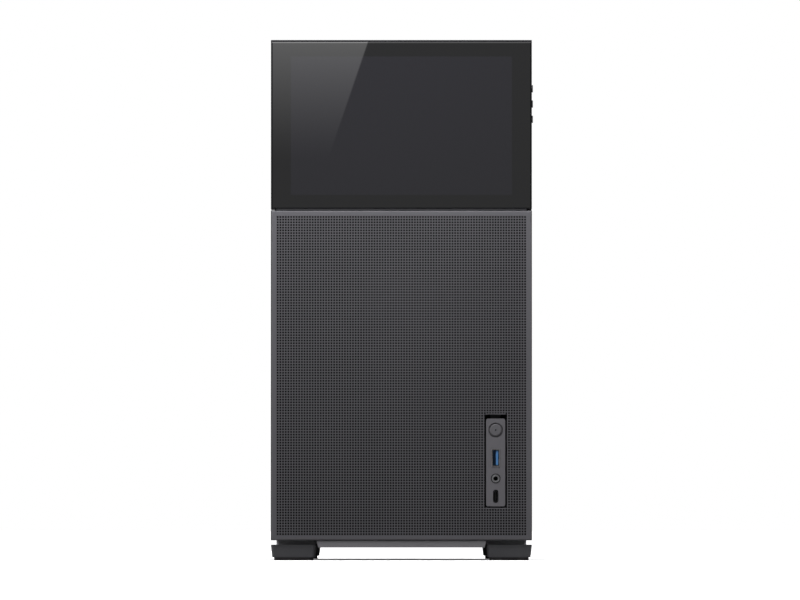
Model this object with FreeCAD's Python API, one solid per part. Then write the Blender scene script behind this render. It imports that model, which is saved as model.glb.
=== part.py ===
"""A compact desktop computer case for an ATX main board, with a screen above a mesh front.

Millimetres, +Z up, front towards -Y, origin on the floor under the middle of the case.
Every separate piece of the case is one STEP file in parts/, named after the piece.
"""

import FreeCAD
import Part
import math
import os

Vector = FreeCAD.Vector

# What the case holds
board_length = 304.8
board_width = 243.84
board_thickness = 1.57
psu_width = 150.0
psu_depth = 86.0
display_width = 173.6
display_height = 108.8
drive_width = 101.6
drive_length = 147.0
fan_width = 120.0
fan_hole_spacing = 105.0

# Room round what it holds
display_side_border = 15.7
display_border_above_and_below = 25.4
psu_side_room = 27.5
psu_end_room = 2.0
board_to_base = 34.3
board_to_top = 54.0
board_to_rear = 3.0
tray_before_board = 32.16
cable_gap = 49.0
thumbscrew_head = 4.0
thumbscrew_radius = 4.0

# Sheets and gaps
steel = 1.0
seam_gap = 0.3
bend_radius = 1.2
flange_height = 14.0
hem_gap = 0.5
press_gap = 0.1

# Feet
pad_height = 2.4
pad_recess = 0.8
pad_inset = 2.5
foot_height = 9.9
foot_width = 35.5
foot_length = 56.0
foot_draft = 0.9
foot_corner = 3.0
foot_setback = 3.0
neck_height = 3.4
neck_inset = 4.2
foot_peg = (6.0, 20.0)

# Front layer: the mesh panel below and the screen module above
front_layer = 18.0
screen_seam = 1.5
panel_notch_width = 4.3
panel_lip = 18.5
hole_pitch = 2.112
hole_size = 1.45
panel_border = 4.2

# Side and top panels
side_panel_depth = 4.0
glass_thickness = 3.0
glass_frame_width = 16.0
top_sheet = 1.4
top_flange = 7.0
top_edge_setback = 1.0
top_vent_border = 18.0
vent_columns = 18
vent_height = 150.0
stud_side = 4.4
stud_length = 7.0
stud_clearance = 0.25
socket_wall = 1.3
socket_length = 8.5

# Screen module
screen_glass = 2.0
screen_bevel = 0.8
screen_wall = 2.0
display_above_seam = 12.4
display_frame = 5.0
display_thickness = 3.2
side_button_height = 5.7
side_button_width = 3.5
side_button_proud = 0.93
side_button_pitch = 12.0
side_buttons_above_centre = 17.4
side_button_travel = 0.6
button_clearance = 0.15

# Socket strip at the front, from its lower end upwards
strip_centre_x = 74.0
strip_above_base = 26.7
usb_c_above_strip_end = 7.9
jack_above_usb_c = 14.0
usb_a_above_jack = 16.2
power_button_above_usb_a = 21.8
strip_end_above_button = 9.0
strip_width = 15.0
strip_corner = 1.5
strip_gap = 1.2
strip_gap_above = 3.3
strip_face_setback = 0.4
strip_face = 2.0
strip_wall = 1.2
power_button_radius = 5.1
power_button_gap = 0.65
power_button_top = 4.0
power_button_travel = 1.2
power_button_depth = 5.2
power_light_radius = 0.6
usb_a_size = (5.7, 13.1)
usb_c_size = (3.2, 8.9)
usb_c_opening = (4.2, 10.4)
shell_wall = 0.35
jack_bore_radius = 1.8
jack_nose_radius = 3.1

# Main board and cards, as the form factor fixes them
standoff_height = 6.5
standoff_flats = 5.0
standoff_thread_radius = 1.6
standoffs_below_board_top = (16.51, 173.99, 298.45)
standoffs_from_board_rear = (10.16, 165.1, 237.49)
io_aperture_width = 44.45
io_aperture_height = 158.75
io_aperture_below_board_top = 1.8
slot_pitch = 20.32
slot_below_aperture = 14.4
slot_opening_height = 13.6
slot_opening_length = 106.0
slot_cover_height = 18.4
slot_screw_beside_opening = 7.0
slot_screw_radius = 1.5

# Air
fan_hole_radius = 2.2
fan_grille_radius = 57.0
grille_pitch = 12.0
grille_slot = 8.0
grille_rib = 4.0
grille_rib_x = 19.0

# Planes that several pieces share
psu_space = psu_depth + psu_end_room
case_width = max(display_width + 2 * display_side_border, psu_width + 2 * psu_side_room)
case_depth = (
    front_layer + steel + psu_space + cable_gap + tray_before_board + board_width
    + board_to_rear + steel
)
body_bottom = pad_height + foot_height + neck_height
board_bottom = body_bottom + board_to_base
board_top = board_bottom + board_length
case_height = board_top + board_to_top
half_width = case_width / 2
front_y = -(case_depth + thumbscrew_head) / 2
rear_y = front_y + case_depth
frame_y = front_y + front_layer
chassis_half = half_width - side_panel_depth - seam_gap
chassis_top = case_height - top_flange - 0.8
side_panel_top = case_height - top_flange - seam_gap
side_panel_front = frame_y + seam_gap
screen_seam_height = case_height - display_height - display_border_above_and_below
board_rear = rear_y - steel - board_to_rear
tray_front = board_rear - board_width - tray_before_board
tray_x = strip_centre_x + 3.0
board_back_x = tray_x - standoff_height
board_face_x = board_back_x - board_thickness


def box(x, y, z):
    """A block between the low and high value of each axis."""
    size = (x[1] - x[0], y[1] - y[0], z[1] - z[0])
    return Part.makeBox(*size, Vector(x[0], y[0], z[0]))


def around(centre, size):
    """The low and high value of a span with this centre and size."""
    return (centre - size / 2, centre + size / 2)


def inside(span, margin):
    """A span made smaller by a margin at both ends."""
    return (span[0] + margin, span[1] - margin)


def rod(radius, start, end):
    """A round bar between two points."""
    along = Vector(*end) - Vector(*start)
    return Part.makeCylinder(radius, along.Length, Vector(*start), along)


def turned(profile, base, axis):
    """A turned piece: profile is a list of (radius, distance along the axis from base)."""
    points = [Vector(radius, 0, distance) for radius, distance in profile]
    face = Part.Face(Part.makePolygon(points + points[:1]))
    piece = face.revolve(Vector(0, 0, 0), Vector(0, 0, 1), 360)
    turn = FreeCAD.Rotation(Vector(0, 0, 1), Vector(*axis))
    piece.Placement = FreeCAD.Placement(Vector(*base), turn)
    return piece


def on_plane(axis, first, second, depth):
    """The point at these two coordinates of a plane that lies across an axis at depth."""
    points = {
        "X": (depth, first, second),
        "Y": (first, depth, second),
        "Z": (first, second, depth),
    }
    return Vector(*points[axis])


def spans_across(x, y, z, axis):
    """The two spans across an axis, and the span along it."""
    return {"X": (y, z, x), "Y": (x, z, y), "Z": (x, y, z)}[axis]


def outline_block(points, depth, axis):
    """A block with a straight-edged outline, between two depths along an axis."""
    corners = [on_plane(axis, first, second, depth[0]) for first, second in points]
    face = Part.Face(Part.makePolygon(corners + corners[:1]))
    return face.extrude(on_plane(axis, 0, 0, depth[1] - depth[0]))


def many_sided(first, second, radius, sides):
    """The corners of a regular outline round a centre."""
    points = []
    for number in range(sides):
        angle = 2 * math.pi * number / sides
        points.append((first + radius * math.cos(angle), second + radius * math.sin(angle)))
    return points


def rounded_outline(first, second, radius, axis, depth):
    """A closed outline of straight sides and corner arcs on a plane across an axis."""
    bulge = radius * (1 - math.sqrt(0.5))
    corners = (
        (first[1], second[0], -1, 1, True),
        (first[1], second[1], -1, -1, False),
        (first[0], second[1], 1, -1, True),
        (first[0], second[0], 1, 1, False),
    )
    arcs = []
    for a, b, inward_a, inward_b, level_first in corners:
        level = on_plane(axis, a + inward_a * radius, b, depth)
        upright = on_plane(axis, a, b + inward_b * radius, depth)
        middle = on_plane(axis, a + inward_a * bulge, b + inward_b * bulge, depth)
        arcs.append((level, middle, upright) if level_first else (upright, middle, level))
    edges = []
    for number, (start, middle, end) in enumerate(arcs):
        following = arcs[(number + 1) % len(arcs)][0]
        edges.append(Part.Arc(start, middle, end).toShape())
        if (following - end).Length > 1e-6:
            edges.append(Part.LineSegment(end, following).toShape())
    return Part.Wire(edges)


def rounded_block(x, y, z, radius, axis):
    """A block whose edges along one axis are rounded."""
    first, second, depth = spans_across(x, y, z, axis)
    face = Part.Face(rounded_outline(first, second, radius, axis, depth[0]))
    return face.extrude(on_plane(axis, 0, 0, depth[1] - depth[0]))


def clipped_block(x, y, z, clip, axis):
    """A block whose edges along one axis are cut off at 45 degrees."""
    first, second, depth = spans_across(x, y, z, axis)
    points = [
        (first[0] + clip, second[0]),
        (first[1] - clip, second[0]),
        (first[1], second[0] + clip),
        (first[1], second[1] - clip),
        (first[1] - clip, second[1]),
        (first[0] + clip, second[1]),
        (first[0], second[1] - clip),
        (first[0], second[0] + clip),
    ]
    return outline_block(points, depth, axis)


def edges_on(shape, axis, value):
    """The edges that lie in the plane axis = value."""
    found = []
    for edge in shape.Edges:
        points = [getattr(vertex.Point, axis) for vertex in edge.Vertexes]
        if all(abs(point - value) < 1e-6 for point in points):
            found.append(edge)
    return found


def joined(pieces):
    """Solids fused into one, with coplanar faces merged."""
    return pieces[0].fuse(pieces[1:]).removeSplitter()


def without(solid, cutters):
    """A solid with every cutter taken out of it."""
    return solid.cut(Part.makeCompound(cutters))


def grid(first_count, first_pitch, second_count, second_pitch):
    """The offsets of a centred grid of places."""
    for i in range(first_count):
        for j in range(second_count):
            yield (
                (i - (first_count - 1) / 2) * first_pitch,
                (j - (second_count - 1) / 2) * second_pitch,
            )


def row(count, pitch):
    """The offsets of a centred row of places."""
    return [(number - (count - 1) / 2) * pitch for number in range(count)]


def tray_of_sheet(x, y, z, open_side):
    """A folded steel tray: one sheet with its four edges bent up, or down."""
    outer = box(x, y, z)
    closed = z[0] if open_side == "up" else z[1]
    outer = outer.makeFillet(bend_radius, edges_on(outer, "z", closed))
    inner_z = (z[0] + steel, z[1] + 1) if open_side == "up" else (z[0] - 1, z[1] - steel)
    return outer.cut(box(inside(x, steel), inside(y, steel), inner_z))


socket_bore = stud_side + 2 * stud_clearance
socket_outside = socket_bore + 2 * socket_wall
socket_collar = socket_outside + 3.0


def square_bar(seat, axis, side, start, end):
    """A square bar along an axis of the case, from start to end beyond seat."""
    centre = Vector(*seat)
    low = centre + Vector(*axis) * start
    high = centre + Vector(*axis) * end
    spans = []
    for direction, a, b in zip(axis, low, high):
        spans.append(tuple(sorted((a, b))) if direction else around(a, side))
    return box(*spans)


def snap_stud(seat, axis, stand):
    """A square stud with a bevelled end; stand is the part of it before the chassis."""
    stud = square_bar(seat, axis, stud_side, -stand, stud_length)
    tip = Vector(*seat) + Vector(*axis) * stud_length
    across = "xyz"[[abs(part) for part in axis].index(1)]
    return stud.makeChamfer(stud_side / 4, edges_on(stud, across, getattr(tip, across)))


def snap_socket(seat, axis):
    """A square clip pushed into the chassis; seat is on the sheet's outer face."""
    shank = square_bar(seat, axis, socket_outside, 0, steel)
    body = square_bar(seat, axis, socket_collar, steel, socket_length)
    bore = square_bar(seat, axis, socket_bore, -1, socket_length + 1)
    return joined([shank, body]).cut(bore)


def socket_hole(seat, axis):
    """The square hole in the chassis that a clip is pushed into."""
    return square_bar(seat, axis, socket_outside, -1, steel + 1)


# Places of the snap studs, on the plane where each panel meets the chassis
side_stud_rows = (body_bottom + flange_height / 2, chassis_top - flange_height / 2)
side_stud_columns = (frame_y + 34.0, rear_y - 34.0)
panel_stud_rows = (body_bottom + 28.3, screen_seam_height - 24.6)
panel_stud_x = half_width - steel - panel_lip + 5.5
top_stud_x = chassis_half - 9.0
top_stud_y = (frame_y + 12.0, rear_y - 12.0)


def side_stud_places(side, rows=side_stud_rows):
    """Where the studs of a side panel cross the chassis; side is -1 left and +1 right."""
    return [(side * chassis_half, y, z) for y in side_stud_columns for z in rows]


def front_stud_places():
    """Where the studs of the mesh panel cross the front frame."""
    return [(x, frame_y, z) for x in (-panel_stud_x, panel_stud_x) for z in panel_stud_rows]


def top_stud_places():
    """Where the studs of the top cover cross the top frame."""
    return [(x, y, chassis_top) for x in (-top_stud_x, top_stud_x) for y in top_stud_y]


def side_socket_holes(height):
    """The clip holes in the side flanges of a folded tray."""
    holes = []
    for side in (-1, 1):
        for place in side_stud_places(side, (height,)):
            holes.append(socket_hole(place, (-side, 0, 0)))
    return holes


def panel_sockets():
    """The clips that the studs of all four panels snap into."""
    sockets = [snap_socket(place, (0, 1, 0)) for place in front_stud_places()]
    sockets += [snap_socket(place, (0, 0, -1)) for place in top_stud_places()]
    for side in (-1, 1):
        sockets += [snap_socket(place, (-side, 0, 0)) for place in side_stud_places(side)]
    return Part.makeCompound(sockets)


# Feet
foot_inner = half_width - foot_width
foot_ranges = {
    "front": (front_y + foot_setback, front_y + foot_setback + foot_length),
    "rear": (rear_y - foot_setback - foot_length, rear_y - foot_setback),
}
foot_peg_x = half_width - foot_width / 2


def foot_peg_block(side, y, top):
    """The peg that locates a foot in the base pan, up to a height."""
    centre_y = (max(y[0], frame_y + steel) + y[1]) / 2
    x = around(side * foot_peg_x, foot_peg[0])
    return box(x, around(centre_y, foot_peg[1]), (body_bottom - neck_height, top))


def pad_span(side, y):
    """The area of the pocket and the pad under a foot."""
    x = sorted((side * (foot_inner + pad_inset), side * (half_width - pad_inset)))
    return x, inside(y, pad_inset)


def foot(side, y):
    """A moulded foot: a drafted block under a narrower neck, hollowed for its pad."""

    def outline(inset, height):
        x = sorted((side * (foot_inner + inset), side * (half_width - inset)))
        return rounded_outline(x, inside(y, inset), foot_corner, "Z", height)

    top = pad_height + foot_height
    block = Part.makeLoft([outline(foot_draft, pad_height), outline(0, top)], True, True)
    neck_x = sorted((side * (foot_inner + 0.3), side * (half_width - neck_inset)))
    neck_y = (max(y[0] + 2.0, frame_y + seam_gap), y[1] - 2.0)
    neck = clipped_block(neck_x, neck_y, (top, body_bottom), 1.5, "Z")
    pad_x, pad_y = pad_span(side, y)
    pocket = clipped_block(pad_x, pad_y, (0, pad_height + pad_recess), foot_corner, "Z")
    peg = foot_peg_block(side, y, body_bottom + steel)
    return joined([block, neck, peg]).cut(pocket)


def foot_pad(side, y):
    """A rubber pad let into the foot."""
    x, pad_y = pad_span(side, y)
    return clipped_block(x, pad_y, (0, pad_height + pad_recess), foot_corner, "Z")


# Floor of the chassis and the drive carrier on it
base_fan_x = -10.0
base_fan_y = (rear_y - 180.0, rear_y - 60.0)
base_slot_rows = 6
base_slot_pitch = 16.0
base_slot_width = 8.0
base_slot_length = 42.0
drive_tray_y = (frame_y + 16.0, frame_y + 16.0 + drive_length)
drive_tray_wall = 24.0
drive_tray_half = drive_width / 2 + 0.6
drive_ear = (9.0, 14.0)
drive_slot = (20.0, 12.0)
drive_slot_pitch = (30.0, 32.0)
drive_hole_radius = 1.8
drive_holes_from_end = (28.5, 130.1)
drive_hole_height = 6.35


def base_pan():
    """The folded floor of the chassis, with two fields of slots for fans."""
    x = (-chassis_half, chassis_half)
    y = (frame_y + steel, rear_y - steel)
    pan = tray_of_sheet(x, y, (body_bottom, body_bottom + flange_height), "up")
    through = (body_bottom - 1, body_bottom + steel + 1)
    cutters = side_socket_holes(side_stud_rows[0])
    for fan_y in base_fan_y:
        for dx, dy in grid(2, base_slot_length + 6.0, base_slot_rows, base_slot_pitch):
            slot_x = around(base_fan_x + dx, base_slot_length)
            cutters.append(box(slot_x, around(fan_y + dy, base_slot_width), through))
    for dx, dy in grid(2, fan_hole_spacing, 2, fan_hole_spacing):
        place = (base_fan_x + dx, base_fan_y[1] + dy)
        cutters.append(rod(fan_hole_radius, (*place, through[0]), (*place, through[1])))
    for side in (-1, 1):
        for foot_y in foot_ranges.values():
            cutters.append(foot_peg_block(side, foot_y, through[1]))
    return without(pan, cutters)


def drive_tray():
    """A U-shaped tray for a hard disk, standing on four ears."""
    floor_z = body_bottom + steel
    outer_half = drive_tray_half + steel
    wall_z = (floor_z, floor_z + drive_tray_wall)
    outer = box((-outer_half, outer_half), drive_tray_y, wall_z)
    channel_z = (floor_z + steel, wall_z[1] + 1)
    channel_y = (drive_tray_y[0] - 1, drive_tray_y[1] + 1)
    pieces = [outer.cut(box((-drive_tray_half, drive_tray_half), channel_y, channel_z))]
    for side in (-1, 1):
        for y in inside(drive_tray_y, 18.0):
            ear_x = around(side * (outer_half + drive_ear[0] / 2), drive_ear[0])
            pieces.append(box(ear_x, around(y, drive_ear[1]), (floor_z, floor_z + steel)))
    cutters = []
    middle = sum(drive_tray_y) / 2
    for dx, dy in grid(3, drive_slot_pitch[0], 4, drive_slot_pitch[1]):
        slot_y = around(middle + dy, drive_slot[1])
        cutters.append(box(around(dx, drive_slot[0]), slot_y, (floor_z - 1, floor_z + 2)))
    for distance in drive_holes_from_end:
        y = drive_tray_y[0] + distance
        z = floor_z + steel + drive_hole_height
        ends = (-outer_half - 1, outer_half + 1)
        cutters.append(rod(drive_hole_radius, (ends[0], y, z), (ends[1], y, z)))
    return without(joined(pieces), cutters)


# Roof of the chassis
top_fan_y = (rear_y - 196.0, rear_y - 76.0)
top_opening_half = 45.0


def top_frame():
    """The folded roof of the chassis, open for two fans or a radiator."""
    x = (-chassis_half, chassis_half)
    y = (frame_y + steel, rear_y - steel)
    frame = tray_of_sheet(x, y, (chassis_top - flange_height, chassis_top), "down")
    through = (chassis_top - steel - 1, chassis_top + 1)
    opening_y = (top_fan_y[0] - fan_width / 2, top_fan_y[1] + fan_width / 2)
    opening_x = (-top_opening_half, top_opening_half)
    cutters = [clipped_block(opening_x, opening_y, through, 3.0, "Z")]
    for fan_y in top_fan_y:
        for dx, dy in grid(2, fan_hole_spacing, 2, fan_hole_spacing):
            place = (dx, fan_y + dy)
            cutters.append(rod(fan_hole_radius, (*place, through[0]), (*place, through[1])))
    for place in top_stud_places():
        cutters.append(socket_hole(place, (0, 0, -1)))
    return without(frame, cutters + side_socket_holes(side_stud_rows[1]))


# Uprights of the chassis
strip_x = around(strip_centre_x, strip_width)
strip_low = body_bottom + strip_above_base
usb_c_height = strip_low + usb_c_above_strip_end
jack_height = usb_c_height + jack_above_usb_c
usb_a_height = jack_height + usb_a_above_jack
power_button_height = usb_a_height + power_button_above_usb_a
strip_z = (strip_low, power_button_height + strip_end_above_button)
front_opening_x = (-half_width + 22.5, strip_x[0] - 12.5)
front_opening_z = (body_bottom + 24.3, screen_seam_height - 16.6)
display_centre_height = screen_seam_height + display_above_seam + display_height / 2
screen_port_height = display_centre_height - 25.4
screen_port_x = (-9.0, 14.0)
screen_port_size = ((15.0, 5.6), (9.0, 3.3))
psu_bracket_z = chassis_top - 29.0
psu_flange = 34.0
psu_ear = 13.0
psu_half = psu_width / 2 + 1.2
psu_ear_half = psu_half + steel + psu_ear
psu_slot_x = psu_ear_half - psu_ear / 2
psu_slot = (3.4, 50.0)


def upright_of_sheet(y, inward):
    """A plate across the chassis with its left and right edges bent inward along Y."""
    plate = box((-chassis_half, chassis_half), y, (body_bottom, chassis_top))
    clear_z = inside((body_bottom, chassis_top), flange_height + hem_gap)
    outer = y[0] if inward > 0 else y[1]
    reach = sorted((outer, outer + inward * (flange_height + steel)))
    flanges = []
    for side in (-1, 1):
        x = sorted((side * (chassis_half - steel), side * chassis_half))
        flanges.append(box(x, reach, clear_z))
    return joined([plate] + flanges)


def front_frame():
    """The upright behind the screen and the mesh, with a window for the air."""
    y = (frame_y, frame_y + steel)
    through = (y[0] - 1, y[1] + 1)
    cutters = [clipped_block(front_opening_x, through, front_opening_z, 3.0, "Y")]
    port_low = around(screen_port_x[0], screen_port_size[0][0])[0] - 4.0
    port_high = around(screen_port_x[1], screen_port_size[1][0])[1] + 4.0
    cutters.append(box((port_low, port_high), through, around(screen_port_height, 14.0)))
    for x in (-psu_slot_x, psu_slot_x):
        slot_z = around(psu_bracket_z - psu_flange / 2 - 14.0, psu_slot[1])
        cutters.append(rounded_block(around(x, psu_slot[0]), through, slot_z, psu_slot[0] / 2, "Y"))
    for place in front_stud_places():
        cutters.append(socket_hole(place, (0, 1, 0)))
    return without(upright_of_sheet(y, 1), cutters)


io_x = (board_face_x - io_aperture_width, board_face_x)
io_top = board_top - io_aperture_below_board_top
io_z = (io_top - io_aperture_height, io_top)
rear_fan_x = (io_x[0] - chassis_half) / 2 - 0.3
rear_fan_z = chassis_top - 76.0
slot_opening_x = (board_face_x - 1.0 - slot_opening_length, board_face_x - 1.0)
slot_screw_x = slot_opening_x[0] - slot_screw_beside_opening
slot_count = int((io_z[0] - board_bottom) / slot_pitch)
slot_heights = [
    io_z[0] - slot_below_aperture - number * slot_pitch for number in range(slot_count)
]
inlet_x = -chassis_half + 26.2
inlet_z = body_bottom + 46.3
inlet_body = (19.8, 27.0)
inlet_flange = (22.5, 50.0)
inlet_rim = 2.0
inlet_depth = 22.0
inlet_socket = (16.4, 24.4)
inlet_socket_depth = 14.0
inlet_pin = (4.0, 2.0)
inlet_pin_pitch = 7.0
inlet_pin_offset = 2.0


def fan_grille(y):
    """Slots across a circle, parted by two upright ribs."""
    slots = []
    inner = grille_rib_x - grille_rib / 2
    outer = grille_rib_x + grille_rib / 2
    for drop in row(int(2 * fan_grille_radius / grille_pitch), grille_pitch):
        reach = math.sqrt(fan_grille_radius**2 - (abs(drop) + grille_slot / 2) ** 2)
        span_z = around(rear_fan_z + drop, grille_slot)
        slots.append(box(around(rear_fan_x, 2 * min(inner, reach)), y, span_z))
        if reach > outer + grille_rib:
            for side in (-1, 1):
                ends = (rear_fan_x + side * outer, rear_fan_x + side * reach)
                slots.append(box(sorted(ends), y, span_z))
    return slots


def rear_panel():
    """The back of the chassis: board aperture, card slots, fan grille and power inlet."""
    y = (rear_y - steel, rear_y)
    through = (y[0] - 1, y[1] + 1)
    cutters = [box(io_x, through, io_z)] + fan_grille(through)
    for dx, dz in grid(2, fan_hole_spacing, 2, fan_hole_spacing):
        x, z = rear_fan_x + dx, rear_fan_z + dz
        cutters.append(rod(fan_hole_radius, (x, through[0], z), (x, through[1], z)))
    for z in slot_heights:
        cutters.append(box(slot_opening_x, through, around(z, slot_opening_height)))
        hole = 2 * (slot_screw_radius + press_gap)
        cutters.append(box(around(slot_screw_x, hole), through, around(z, hole)))
    body_x = around(inlet_x, inlet_body[0] + 2 * press_gap)
    cutters.append(box(body_x, through, around(inlet_z, inlet_body[1] + 2 * press_gap)))
    return without(upright_of_sheet(y, -1), cutters)


def slot_cover(height):
    """A vented cover behind one card slot, with an open notch for its thumbscrew."""
    x = (slot_screw_x - 5.0, board_face_x + 5.0)
    y = (rear_y - 2 * steel, rear_y - steel)
    through = (y[0] - 1, y[1] + 1)
    cover = box(x, y, around(height, slot_cover_height))
    middle = sum(slot_opening_x) / 2
    cutters = []
    for dx in row(3, slot_opening_length / 3):
        vent_x = around(middle + dx, slot_opening_length / 3 - 5.0)
        cutters.append(box(vent_x, through, around(height, slot_opening_height / 3)))
    notch_x = (x[0] - 1, slot_screw_x + slot_screw_radius + press_gap)
    notch_z = around(height, 2 * (slot_screw_radius + press_gap))
    return without(cover, cutters + [box(notch_x, through, notch_z)])


def slot_thumbscrews():
    """The thumbscrew of each slot cover, driven from the back."""
    screws = []
    for z in slot_heights:
        head = many_sided(slot_screw_x, z, thumbscrew_radius, 12)
        shank = many_sided(slot_screw_x, z, slot_screw_radius, 6)
        pieces = [
            outline_block(head, (rear_y, rear_y + thumbscrew_head), "Y"),
            outline_block(shank, (rear_y - 6.0, rear_y + thumbscrew_head / 2), "Y"),
        ]
        screws.append(joined(pieces))
    return Part.makeCompound(screws)


def inlet_pin_places():
    """The three pins of the inlet, the middle one set apart."""
    for number, offset in enumerate((-inlet_pin_offset, inlet_pin_offset, -inlet_pin_offset)):
        yield (inlet_x + offset, inlet_z + (number - 1) * inlet_pin_pitch)


def power_inlet():
    """A mains inlet: a flanged moulding with a socket for the lead."""
    flange_x = around(inlet_x, inlet_flange[0])
    flange_z = around(inlet_z, inlet_flange[1])
    flange = clipped_block(flange_x, (rear_y, rear_y + inlet_rim), flange_z, 5.0, "Y")
    body_y = (rear_y - inlet_depth, rear_y)
    body = box(around(inlet_x, inlet_body[0]), body_y, around(inlet_z, inlet_body[1]))
    socket_y = (rear_y - inlet_socket_depth, rear_y + inlet_rim + 1)
    socket_z = around(inlet_z, inlet_socket[1])
    cutters = [clipped_block(around(inlet_x, inlet_socket[0]), socket_y, socket_z, 1.5, "Y")]
    for x, z in inlet_pin_places():
        pin_y = (body_y[0] - 1, socket_y[0] + 1)
        cutters.append(box(around(x, inlet_pin[0]), pin_y, around(z, inlet_pin[1])))
    return without(joined([flange, body]), cutters)


def power_inlet_pins():
    """Flat pins that pass through the back of the inlet as tags."""
    pins = []
    tip = rear_y - 1.5
    for x, z in inlet_pin_places():
        pin_y = (rear_y - inlet_depth - 8.0, tip)
        pin = box(around(x, inlet_pin[0]), pin_y, around(z, inlet_pin[1]))
        pins.append(pin.makeChamfer(0.6, edges_on(pin, "y", tip)))
    return Part.makeCompound(pins)


# Board tray
cooler_window_y = (board_rear - 148.0, board_rear - 24.0)
cooler_window_z = (board_top - 148.8, board_top - 32.8)
cable_hole = (20.0, 60.0)
cable_hole_y = tray_front + 20.0
cable_hole_z = (board_bottom + 70.0, board_bottom + 210.0)
edge_hole = (40.0, 16.0)
edge_hole_y = (board_rear - 192.0, board_rear - 82.0)
edge_hole_z = board_top + 16.2
tray_flange = 13.0
tray_front_flange = 7.0


def motherboard_tray():
    """The plate that carries the main board, with cable holes and a window behind the cooler."""
    y = (tray_front, rear_y - steel)
    z = (body_bottom + steel, chassis_top - steel)
    notch_y = (rear_y - 2 * steel - hem_gap, rear_y)
    upright_z = inside((body_bottom, chassis_top), flange_height + hem_gap)
    flange_x = (tray_x - tray_flange, tray_x + steel)
    flange_y = (tray_front, notch_y[0])
    pieces = [
        box((tray_x, tray_x + steel), y, z),
        box(flange_x, flange_y, (z[0], z[0] + steel)),
        box(flange_x, flange_y, (z[1] - steel, z[1])),
        box((tray_x, tray_x + tray_front_flange), (y[0], y[0] + steel), upright_z),
    ]
    through = (tray_x - 1, tray_x + steel + 1)
    cutters = [
        box(through, notch_y, (z[0] - 1, upright_z[0])),
        box(through, notch_y, (upright_z[1], z[1] + 1)),
        clipped_block(through, cooler_window_y, cooler_window_z, 3.0, "X"),
    ]
    for hole_z in cable_hole_z:
        span_z = around(hole_z, cable_hole[1])
        hole_y = around(cable_hole_y, cable_hole[0])
        cutters.append(clipped_block(through, hole_y, span_z, 3.0, "X"))
    for hole_y in edge_hole_y:
        span_z = around(edge_hole_z, edge_hole[1])
        cutters.append(clipped_block(through, around(hole_y, edge_hole[0]), span_z, 3.0, "X"))
    return without(joined(pieces), cutters)


def standoff_places():
    """The holes of the main board, as places on the tray."""
    for below in standoffs_below_board_top:
        for before in standoffs_from_board_rear:
            if below < board_length and before < board_width:
                yield (board_rear - before, board_top - below)


def motherboard_standoffs():
    """Hexagonal brass standoffs, each with a threaded hole."""
    standoffs = []
    for y, z in standoff_places():
        points = many_sided(y, z, standoff_flats / math.sqrt(3), 6)
        body = outline_block(points, (board_back_x, tray_x), "X")
        thread = rod(standoff_thread_radius, (board_back_x - 1, y, z), (tray_x - 1.0, y, z))
        standoffs.append(body.cut(thread))
    return Part.makeCompound(standoffs)


ssd_size = (100.0, 70.0)
ssd_hole_spacing = (76.6, 61.7)
ssd_hole_radius = 1.6
ssd_stand = 5.0
ssd_foot = 9.0
ssd_gap = 4.0
ssd_centre_y = board_rear - 92.0
ssd_low = body_bottom + 8.3 + ssd_foot + ssd_size[1] / 2
ssd_centres_z = (ssd_low, ssd_low + ssd_size[1] + 2 * ssd_foot + ssd_gap)


def ssd_bracket(centre):
    """A hat-shaped bracket for a small drive, on the back of the board tray."""
    back = tray_x + steel
    half = ssd_size[1] / 2
    top = back + ssd_stand
    profile = [
        (back, half + ssd_foot),
        (back + steel, half + ssd_foot),
        (back + steel, half),
        (top, half),
        (top, -half),
        (back + steel, -half),
        (back + steel, -half - ssd_foot),
        (back, -half - ssd_foot),
        (back, -half + steel),
        (top - steel, -half + steel),
        (top - steel, half - steel),
        (back, half - steel),
    ]
    points = [(x, centre + z) for x, z in profile]
    hat = outline_block(points, around(ssd_centre_y, ssd_size[0]), "Y")
    cutters = []
    for dy, dz in grid(2, ssd_hole_spacing[0], 2, ssd_hole_spacing[1]):
        y, z = ssd_centre_y + dy, centre + dz
        cutters.append(rod(ssd_hole_radius, (top - 2 * steel, y, z), (top + 1, y, z)))
    return without(hat, cutters)


# Bracket of the power supply
psu_plate_y = (frame_y + steel, frame_y + steel + psu_space)
psu_window_half = 58.0
psu_window_y = (psu_plate_y[0] + 10.0, psu_plate_y[1] - 14.0)
psu_near_holes = (-69.0, 69.0)
psu_far_holes = (-69.0, 45.0)
psu_hole_radius = 2.0
psu_near_row = psu_plate_y[0] + steel + 16.0
psu_far_row = psu_near_row + 64.0


def psu_bracket():
    """A folded bracket that the power supply hangs from, clamped in two slots of the front frame."""
    x = (-psu_half - steel, psu_half + steel)
    low = psu_bracket_z - psu_flange
    flange_x = (-psu_ear_half, psu_ear_half)
    pieces = [
        box(x, psu_plate_y, (psu_bracket_z - steel, psu_bracket_z)),
        box(flange_x, (psu_plate_y[0], psu_plate_y[0] + steel), (low, psu_bracket_z)),
    ]
    gusset = [
        (psu_plate_y[0], psu_bracket_z),
        (psu_plate_y[1], psu_bracket_z),
        (psu_plate_y[1], psu_bracket_z - 6.0),
        (psu_plate_y[0] + 10.0, low),
        (psu_plate_y[0], low),
    ]
    for side in (-1, 1):
        span_x = sorted((side * psu_half, side * (psu_half + steel)))
        pieces.append(outline_block(gusset, span_x, "X"))
    through = (psu_bracket_z - steel - 1, psu_bracket_z + 1)
    window_x = (-psu_window_half, psu_window_half)
    cutters = [clipped_block(window_x, psu_window_y, through, 3.0, "Z")]
    near = [(place, psu_near_row) for place in psu_near_holes]
    for place in near + [(place, psu_far_row) for place in psu_far_holes]:
        cutters.append(rod(psu_hole_radius, (*place, through[0]), (*place, through[1])))
    return without(joined(pieces), cutters)


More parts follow.
